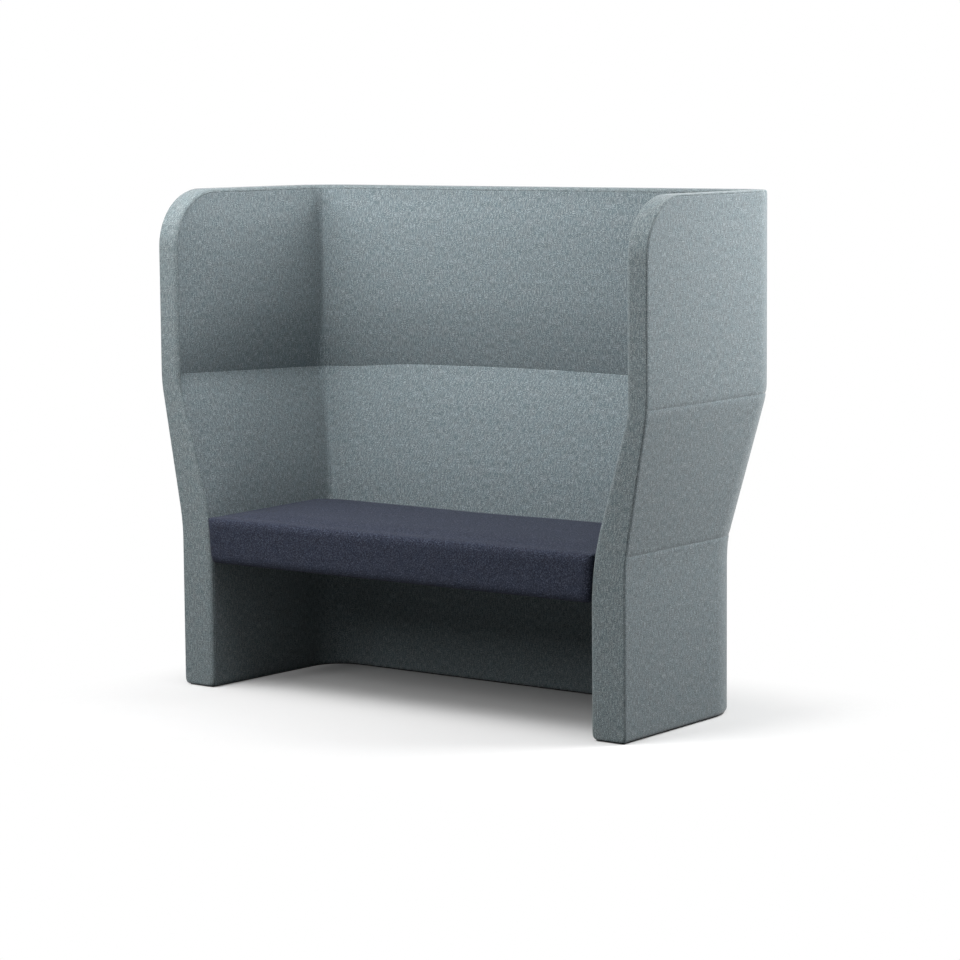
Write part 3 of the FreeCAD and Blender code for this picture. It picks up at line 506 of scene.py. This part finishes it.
def bandPiece(name, edges, outerRolls):
    # edges: inner edge, outer edge and outward direction at each station along the band
    points = []
    marks = []
    lengths = lengthsOf([outer for _, outer, _ in edges])
    total = lengths[-1]
    for (inner, outer, outward), outerRoll, length in zip(edges, outerRolls, lengths):
        width = (outer - inner).length
        across = (outer - inner) / width
        ending = roll(min(length, total - length), *band["endRoll"])
        pulled = roll(length, *band["footRoll"]) if outward.z == 0 else 0.0
        distances = bandAcross(width, outerRoll[0])
        falls = [max(roll(d, *band["innerRoll"]), roll(width - d, *outerRoll)) for d in distances]
        distances = [distances[0] + band["tuckIn"]] + distances + [distances[-1] - band["tuckIn"]]
        falls = [falls[0] + band["tuck"]] + falls + [falls[-1] + band["tuck"]]
        for distance, fall in zip(distances, falls):
            kept = pulled + distance * (1 - 2 * pulled / width)
            points.append(inner + across * kept - outward * (fall + ending))
            fromMiddle = distance - width / 2
            marks.append((fromMiddle + math.copysign(fall, fromMiddle), length))
    columns = len(points) // len(edges)
    piece = newGrid(name, columns, len(edges))
    layOut(piece, points, marks)
    faceOutwards(piece, columns, len(edges), edges[len(edges) // 2][2])
    return piece


def edgeBandStations():
    # up the front edge, round the top corner and back along the top
    front = wall["front"]
    radius = wall["topCorner"]
    turnZ = wall["top"] - radius
    turnY = front + radius
    stops = []
    for z in stations(wall["floor"], turnZ, band["step"], band["footFine"]):
        inner = Vector((leaning(innerFace, innerFace["half"], z), front, z))
        outer = Vector((leaning(outerFace, outerFace["half"], z), front, z))
        stops.append((inner, outer, Vector((0, -1, 0))))
    steps = round(radius * math.pi / 2 / band["step"])
    for step in range(1, steps + 1):
        angle = math.pi / 2 * step / steps
        outward = Vector((0, -math.cos(angle), math.sin(angle)))
        y = turnY + radius * outward.y
        z = turnZ + radius * outward.z
        shift = (y - front) * math.tan(wall["splay"])
        inner = Vector((leaning(innerFace, innerFace["half"], z) - shift, y, z))
        outer = Vector((leaning(outerFace, outerFace["half"], z) - shift, y, z))
        stops.append((inner, outer, outward))
    endInner = wallPoint(innerFace, wall["top"], 1.0)
    endOuter = wallPoint(outerFace, wall["top"], 1.0)
    startInner, startOuter, up = stops[-1]
    run = endInner.y - startInner.y
    for length in stations(0.0, run, band["step"], band["endFine"])[1:]:
        share = length / run
        stops.append((startInner.lerp(endInner, share), startOuter.lerp(endOuter, share), up))
    return stops


def topBandStations():
    # round the right rear corner, along the back and round the left one
    up = Vector((0, 0, 1))
    shares = stations(1.0, 2.0, band["turnShare"])
    shares += stations(2.0, 4.0, band["backShare"])[1:]
    shares += stations(4.0, 5.0, band["turnShare"])[1:]
    stops = []
    for share in shares:
        inner = wallPoint(innerFace, wall["top"], share)
        outer = wallPoint(outerFace, wall["top"], share)
        stops.append((inner, outer, up))
    return stops, [backRollAt(share) for share in shares]


rightStops = edgeBandStations()
leftStops = [(mirrorPoint(inner), mirrorPoint(outer), outward) for inner, outer, outward in rightStops]
sideRolls = [band["outerRoll"]] * len(rightStops)
topStops, topRolls = topBandStations()
bandRuns = (
    ("edge_band_cloth_right", rightStops, sideRolls, "edge_band_right"),
    ("edge_band_cloth_left", leftStops, sideRolls, "edge_band_left"),
    ("top_band_cloth", topStops, topRolls, "top_band_back"),
)
for name, stops, rolls, node in bandRuns:
    strip = bandPiece(name, stops, rolls)
    closeBehind(strip, band["thickness"])
    smoothPiece(strip)
    finishPiece(strip, bandCloth, "wall_fabric", node)
print("bands made")

# panels of the wall: pads inside, thin covers outside, all drawn in beside their seams
seamFine = (0.0015, 0.004, 0.008, 0.014, 0.022)
padSeamDip = {
    "corner": 0.016,
    "middle": 0.005,
    "reach": 0.16,  # how far above and below the seam the pads follow it
    "cornerRun": 0.45,  # along the back, as shares for wallPoint
    "middleFrom": 2.3,
    "middleRun": 0.7,
}
covers = {
    "thickness": 0.007,
    "row": 0.020,
    "seams": (0.449, 0.799),
    "seamDepth": 0.0019,
    "seamHalf": 0.010,
    "rimGap": 0.0003,  # between the back cover and the roll of its band
    "rimEase": 0.060,
}
pads = {
    "thickness": 0.014,
    "row": 0.012,
    "overlap": 0.001,
    "crown": {"upper": 0.016, "lower": 0.011},
    "crownReach": 0.18,
    "pressure": 4.0,
    "cap": 0.004,
    "held": 0.010,  # beside its edges a pad is held, and from there it is freed over a stretch
    "freed": 0.080,
}
# an edge is how far the drawn-in stretch reaches and how deep it goes
outerRimSeam = (0.004, 0.0020)
outerCornerSeam = (0.004, 0.0008)
innerRimSeam = (0.002, 0.0004)
innerCornerSeam = (0.007, 0.0018)
hemEdge = (0.010, 0.006)
upperRoll = (0.150, 0.014, True)
lowerRoll = (0.080, 0.014, True)


def roundCorner(a, b, radius):
    # bends the square corner of a flat cut to the large radius of the top front corner
    if a >= radius or b >= radius:
        return a, b
    u = 1 - a / radius
    v = 1 - b / radius
    return radius * (1 - u * math.sqrt(1 - v * v / 2)), radius * (1 - v * math.sqrt(1 - u * u / 2))


def seamShift(share):
    # the seam between the pads dips towards the rear corners and rises in the middle of the back
    s = nearSide(share)
    if s < 2:
        return -padSeamDip["corner"] * min(1.0, s)
    dip = padSeamDip["corner"] * (1 - easing((s - 2) / padSeamDip["cornerRun"]))
    return -dip + padSeamDip["middle"] * easing((s - padSeamDip["middleFrom"]) / padSeamDip["middleRun"])


def panelLevel(face, panel, share, z):
    # pads follow the line of their seam, and the back cover follows the roll of its band
    if face is innerFace:
        away = abs(z - wall["padSeam"]) / padSeamDip["reach"]
        return z + seamShift(share) * (1 - easing(away))
    if panel["hand"] == "back":
        lift = band["backRoll"][1] - backRollAt(share)[1]
        return z + lift * easing(1 - (panel["rows"][-1] - z) / covers["rimEase"])
    return z


def panelPiece(name, face, panel):
    columns = panel["columns"]
    rows = panel["rows"]
    low, high = rows[0], rows[-1]
    atFront = columns[0] == 0.0
    radius = wall["topCorner"] - face["edge"]
    points = []
    marks = []
    margins = []
    for z in rows:
        lengths = lengthsOf([wallPoint(face, z, share, 0.0, face["edge"]) for share in columns])
        overStart = max(0.0, z - panel["crownFrom"])
        rise = overStart / (high - panel["crownFrom"])
        for share, length in zip(columns, lengths):
            toRear = lengths[-1] - length
            sunk = max(roll(length, *panel["frontEdge"]), roll(toRear, *panel["rearEdge"]),
                       roll(high - z, *panel["topEdge"]), roll(z - low, *panel["bottomEdge"]))
            eased = easing(length / pads["crownReach"]) if atFront else 1.0
            sunk -= panel["crown"] * 4 * rise * (1 - rise) * eased  # stuffed fuller towards the middle
            for seam in panel["seams"]:
                near = max(0.0, 1 - abs(z - seam) / covers["seamHalf"])
                sunk = max(sunk, covers["seamDepth"] * near ** 2)
            level = panelLevel(face, panel, share, z)
            if panel["cornerCut"] and share < 1:
                a, b = roundCorner(length, high - z, radius)
                y = wall["front"] + face["edge"] + a
                height = high - b + level - z
                half = leaning(face, face["half"], height) + face["into"] * sunk
                x = half - (y - wall["front"]) * math.tan(wall["splay"])
                points.append(Vector((x, y, height)))
            else:
                points.append(wallPoint(face, level, share, sunk, face["edge"]))
            marks.append((length, z))
            margins.append(min(toRear, length, high - z, overStart))
    middle = (face, rows[len(rows) // 2], columns[len(columns) // 2])
    outward = wallPoint(*middle) - wallPoint(*middle, covers["thickness"])
    if panel["hand"] == "left":
        points = [mirrorPoint(point) for point in points]
        outward = mirrorPoint(outward)
    piece = newGrid(name, len(columns), len(rows))
    layOut(piece, points, marks)
    faceOutwards(piece, len(columns), len(rows), outward)
    return piece, margins


def outerPanel(hand, columns):
    rim = band["backRoll"][1] + covers["rimGap"] if hand == "back" else outerFace["edge"]
    return {
        "hand": hand,
        "columns": columns,
        "rows": stations(wall["floor"], wall["top"] - rim, covers["row"], seamFine, covers["seams"]),
        "cornerCut": hand != "back",
        "frontEdge": outerCornerSeam if hand == "back" else outerRimSeam,
        "rearEdge": outerCornerSeam,
        "topEdge": outerRimSeam,
        "bottomEdge": hemEdge,
        "crown": 0.0,
        "crownFrom": wall["floor"],
        "seams": covers["seams"],
    }


def innerPanel(hand, columns, level, low, high):
    upper = level == "upper"
    return {
        "hand": hand,
        "columns": columns,
        "rows": stations(low, high, pads["row"], seamFine),
        "cornerCut": upper and hand != "back",
        "frontEdge": innerCornerSeam if hand == "back" else innerRimSeam,
        "rearEdge": innerCornerSeam,
        "topEdge": innerRimSeam if upper else lowerRoll,
        "bottomEdge": upperRoll if upper else hemEdge,
        "crown": pads["crown"][level],
        "crownFrom": low if upper else seatBox[1].z,  # flat beside the seat and below it
        "seams": (),
    }


# places along the wall, as shares for wallPoint: the pads run on into the rear corners behind each other
sideOuterColumns = stations(0.0, 1.015, 0.045, (0.004, 0.010, 0.020, 0.035))
backOuterColumns = stations(0.995, 5.005, 0.034, (0.006, 0.014, 0.026))
sideTurn = [1.12, 1.25, 1.38, 1.48, 1.56]
backTurn = [1.44, 1.52, 1.62, 1.75, 1.88]
sideInnerColumns = stations(0.0, 1.0, 0.026, (0.003, 0.008, 0.016, 0.030)) + sideTurn
backInnerColumns = backTurn + stations(2.0, 4.0, 0.022, (0.003, 0.010, 0.022))
backInnerColumns += [6 - share for share in reversed(backTurn)]

for hand in ("right", "left", "back"):
    columns = backOuterColumns if hand == "back" else sideOuterColumns
    cover, _ = panelPiece("outer_cover_cloth_" + hand, outerFace, outerPanel(hand, columns))
    closeBehind(cover, covers["thickness"])
    smoothPiece(cover)
    finishPiece(cover, wallCloth, "wall_fabric", "outer_cover_" + hand)
print("outer covers made")

padRuns = (
    ("lower", wall["floor"], wall["padSeam"] + pads["overlap"]),
    ("upper", wall["padSeam"] - pads["overlap"], wall["top"] - innerFace["edge"]),
)
for level, low, high in padRuns:
    for hand in ("right", "left", "back"):
        columns = backInnerColumns if hand == "back" else sideInnerColumns
        panel = innerPanel(hand, columns, level, low, high)
        pad, margins = panelPiece("inner_pad_cloth_%s_%s" % (level, hand), innerFace, panel)
        closeBehind(pad, pads["thickness"])
        caps = [pads["cap"] * easing((margin - pads["held"]) / pads["freed"]) for margin in margins]
        hidden = len(pad.data.vertices) - len(margins)
        swell(pad, pads["pressure"], caps + [0.0] * hidden)
        smoothPiece(pad)
        finishPiece(pad, wallCloth, "wall_fabric", "inner_pad_%s_%s" % (level, hand))
print("inner pads made")

# seat slab: foam block in felted wool, front edge rounded, slightly crowned
seat = {
    "spread": (0.0113, 0.0085),  # the top reaches out to the leaning pads, at the ends and at the back
    "proud": 0.002,
    "rise": 0.011,  # fuller towards the back
    "edge": 0.028,
    "endEdge": 0.016,
    "wallEdge": 0.004,
    "hem": 0.004,
    "hemDrop": 0.005,  # the wrapped cloth hangs just below its lining
    "edgeSteps": 8,
    "endCorner": 0.014,
    "rearCorner": 0.070,
    "cornerSteps": 6,
    "voxel": 0.0083,
    "pressure": 4.0,
    "cap": 0.007,
    "held": 0.012,  # beside its edges the top is held, and from there it is freed over a stretch
    "freed": 0.100,
    "freeDepth": 0.030,
    "overLining": 0.001,
    "liningReach": 0.010,
}


def bevelEdges(piece, chosen, radius, segments):
    bpy.ops.object.mode_set(mode="EDIT")
    bpy.ops.mesh.select_all(action="DESELECT")
    bpy.ops.object.mode_set(mode="OBJECT")
    for edge in piece.data.edges:
        first, second = [piece.data.vertices[index].co for index in edge.vertices]
        edge.select = chosen(first, second)
    bpy.ops.object.mode_set(mode="EDIT")
    bpy.ops.mesh.bevel(offset=radius, segments=segments, affect="EDGES")
    bpy.ops.object.mode_set(mode="OBJECT")


def seatPiece():
    low, high = seatBox
    low = low - Vector((0, seat["proud"], seat["hemDrop"]))
    size = high - low
    bpy.ops.object.select_all(action="DESELECT")
    bpy.ops.mesh.primitive_cube_add(size=1, location=(low + high) / 2, scale=size)
    piece = bpy.context.object
    piece.name = "seat_cushion_cloth"
    bpy.ops.object.transform_apply(location=True, rotation=False, scale=True)
    narrow = size.y * math.tan(wall["splay"])
    for vertex in piece.data.vertices:
        if vertex.co.y > 0:
            vertex.co.x -= math.copysign(narrow, vertex.co.x)
    roundSeat(piece, low, high)
    for vertex in piece.data.vertices:
        upper = (vertex.co.z - low.z) / size.z
        back = (vertex.co.y - low.y) / size.y
        vertex.co.x += seat["spread"][0] * upper * vertex.co.x / high.x
        vertex.co.y += seat["spread"][1] * upper * back
        vertex.co.z += seat["rise"] * easing(upper * 2 - 1) * back
    return piece


def roundSeat(piece, low, high):
    # first the four upright corners, then the top edges and the hem
    size = high - low
    tolerance = 1e-4
    cornerSlack = 0.001  # the splay moves the ends of the corners a little
    frontEdge = low.y + seat["endCorner"] + cornerSlack
    for corner, atBack in (("endCorner", False), ("rearCorner", True)):
        def upright(a, b):
            return abs(a.z - b.z) > size.z / 2 and (a.y > 0) == atBack
        bevelEdges(piece, upright, seat[corner], seat["cornerSteps"])
    runs = (
        ("edge", high.z, lambda a, b: max(a.y, b.y) < frontEdge),
        ("endEdge", high.z, lambda a, b: abs(a.y - b.y) > size.y / 4),
        ("wallEdge", high.z, lambda a, b: min(a.y, b.y) > 0),
        ("hem", low.z, lambda a, b: True),
    )
    for run, level, belongs in runs:
        def chosen(a, b):
            return belongs(a, b) and max(abs(a.z - level), abs(b.z - level)) < tolerance
        bevelEdges(piece, chosen, seat[run], seat["edgeSteps"])


def seatCaps(piece):
    low, high = seatBox
    caps = []
    for vertex in piece.data.vertices:
        place = vertex.co
        toSides = min(high.x - abs(place.x), place.y - low.y, high.y - place.y)
        free = place.z > high.z - seat["freeDepth"]
        caps.append(seat["cap"] * easing((toSides - seat["held"]) / seat["freed"]) if free else 0.0)
    return caps


def keepOverLining(piece):
    # inside the hem the slab stays above its lining
    low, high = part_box("seat_underlining")
    for vertex in piece.data.vertices:
        place = vertex.co
        half = high.x - abs(place.y - low.y) * math.tan(wall["splay"])
        inside = abs(place.x) < half and low.y < place.y < high.y
        if inside and place.z < high.z + seat["liningReach"]:
            vertex.co.z = max(place.z, high.z + seat["overLining"])


cushion = seatPiece()
applyModifier(cushion, "REMESH", mode="VOXEL", voxel_size=seat["voxel"])
swell(cushion, seat["pressure"], seatCaps(cushion))
applyModifier(cushion, "SMOOTH", factor=0.5, iterations=2)
smoothPiece(cushion)
keepOverLining(cushion)
finishPiece(cushion, seatCloth, "seat_fabric", "seat_cushion")
print("seat made")

# floor: beside the footprint it is matt and holds the lamps' real shadow, and its grey there, darker than the
# white beyond, adds painted shade; farther out it fades into plain white
floorLook = {
    "size": 40.0,
    # grey rather than white, so the floor beside the footprint carries painted shade on top of the real
    # shadow
    "seen": "#e2e2e2",
    "unseen": "#7c7c7c",  # darker for all rays but the camera's, so that it throws little light upwards
    "shadowMiddle": (0.13, -0.20, 0.0),
    "shadowHalf": (0.66, 0.42, 1.0),
    "fade": 0.42,
}
white = (1, 1, 1, 1)


def vectorMath(material, operation, *inputs):
    return addNode(material, "ShaderNodeVectorMath", dict(enumerate(inputs)), operation=operation)


def floorMaterial():
    material = newMaterial("white_floor")
    place = addNode(material, "ShaderNodeTexCoord")
    fromMiddle = vectorMath(material, "SUBTRACT", place.outputs["Object"], floorLook["shadowMiddle"])
    oneSided = vectorMath(material, "ABSOLUTE", fromMiddle.outputs[0])
    beyond = vectorMath(material, "SUBTRACT", oneSided.outputs[0], floorLook["shadowHalf"])
    outside = vectorMath(material, "MAXIMUM", beyond.outputs[0], (0, 0, 0))
    away = vectorMath(material, "LENGTH", outside.outputs[0])
    fade = addNode(material, "ShaderNodeMapRange", {
        "Value": away.outputs["Value"], "From Min": 0.0, "From Max": floorLook["fade"],
    }, interpolation_type="SMOOTHSTEP")
    fromCamera = addNode(material, "ShaderNodeLightPath").outputs["Is Camera Ray"]
    paper = addNode(material, "ShaderNodeMath",
                    {0: fade.outputs["Result"], 1: fromCamera}, operation="MULTIPLY")
    colour = addNode(material, "ShaderNodeMix", {
        "Factor": fromCamera, "A": hexColour(floorLook["unseen"]), "B": hexColour(floorLook["seen"]),
    }, data_type="RGBA")
    matt = addNode(material, "ShaderNodeBsdfDiffuse", {"Color": colour.outputs["Result"]})
    glow = addNode(material, "ShaderNodeEmission", {"Color": white, "Strength": 1.0})
    mixed = addNode(material, "ShaderNodeMixShader",
                    {0: paper.outputs[0], 1: matt.outputs["BSDF"], 2: glow.outputs["Emission"]})
    addNode(material, "ShaderNodeOutputMaterial", {"Surface": mixed.outputs["Shader"]})
    return material


bpy.ops.object.select_all(action="DESELECT")
bpy.ops.mesh.primitive_plane_add(size=floorLook["size"], location=(0, 0, 0))
floor = bpy.context.object
floor.name = "floor"
floor.data.materials.append(floorMaterial())

# large soft lights: overhead and in front, two on the right and a weaker one on the left
studio = {
    "ambient": 0.09,
    # name, place, aim, width in metres and power in watts
    "lamps": (
        ("topFront", (-0.4, -1.9, 4.0), (0.0, 0.0, 0.7), 1.6, 48),
        ("frontHigh", (-0.9, -3.6, 2.8), (0.0, 0.0, 0.9), 2.2, 74),
        ("overNear", (-0.3, -0.75, 2.4), (0.0, -0.6, 0.0), 1.2, 25),
        ("rightNear", (1.9, 0.0, 2.0), (0.75, 0.0, 1.2), 1.4, 9),
        ("rightRear", (1.65, 1.15, 1.9), (0.75, 0.0, 1.2), 1.6, 70),
        ("leftFront", (-1.7, -1.2, 2.2), (-0.6, -0.2, 0.9), 1.2, 20),
    ),
}


def studioWorld():
    # a white backdrop where it is seen, and a weak light from all sides
    world = bpy.data.worlds.new("studio")
    world.use_nodes = True
    world.node_tree.nodes.clear()
    path = addNode(world, "ShaderNodeLightPath")
    seen = path.outputs["Is Camera Ray"]
    for ray in ("Is Glossy Ray", "Is Transmission Ray"):
        either = addNode(world, "ShaderNodeMath", {0: seen, 1: path.outputs[ray]}, operation="MAXIMUM")
        seen = either.outputs[0]
    ambient = addNode(world, "ShaderNodeBackground", {"Color": white, "Strength": studio["ambient"]})
    backdrop = addNode(world, "ShaderNodeBackground", {"Color": white, "Strength": 1.0})
    mixed = addNode(world, "ShaderNodeMixShader", {0: seen, 1: ambient.outputs[0], 2: backdrop.outputs[0]})
    addNode(world, "ShaderNodeOutputWorld", {"Surface": mixed.outputs[0]})
    return world


scene.world = studioWorld()
for name, place, aim, width, power in studio["lamps"]:
    lamp = bpy.data.lights.new(name, "AREA")
    lamp.shape = "SQUARE"
    lamp.size = width
    lamp.energy = power
    holder = bpy.data.objects.new(name, lamp)
    scene.collection.objects.link(holder)
    holder.location = place
    holder.rotation_euler = (Vector(aim) - Vector(place)).to_track_quat("-Z", "Y").to_euler()

# camera at the photographed view
camera = {
    "place": Vector((4.989, -6.424, 1.506)),
    "turn": math.radians(37.61),
    "down": math.radians(6.65),
    "tilt": math.radians(-0.46),
    "lens": 119.8,
    "sensor": 36.0,
}
lens = bpy.data.cameras.new("camera")
lens.lens = camera["lens"]
lens.sensor_width = camera["sensor"]
eye = bpy.data.objects.new("camera", lens)
scene.collection.objects.link(eye)
ahead = Vector((-math.sin(camera["turn"]) * math.cos(camera["down"]),
                math.cos(camera["turn"]) * math.cos(camera["down"]), -math.sin(camera["down"])))
right = Vector((math.cos(camera["turn"]), math.sin(camera["turn"]), 0))
above = right.cross(ahead)
rightTilted = right * math.cos(camera["tilt"]) + above * math.sin(camera["tilt"])
aboveTilted = above * math.cos(camera["tilt"]) - right * math.sin(camera["tilt"])
turned = Matrix((rightTilted, aboveTilted, -ahead)).transposed().to_4x4()
eye.matrix_world = Matrix.Translation(camera["place"]) @ turned
scene.camera = eye
scene.view_settings.view_transform = "Standard"
print("stage made")
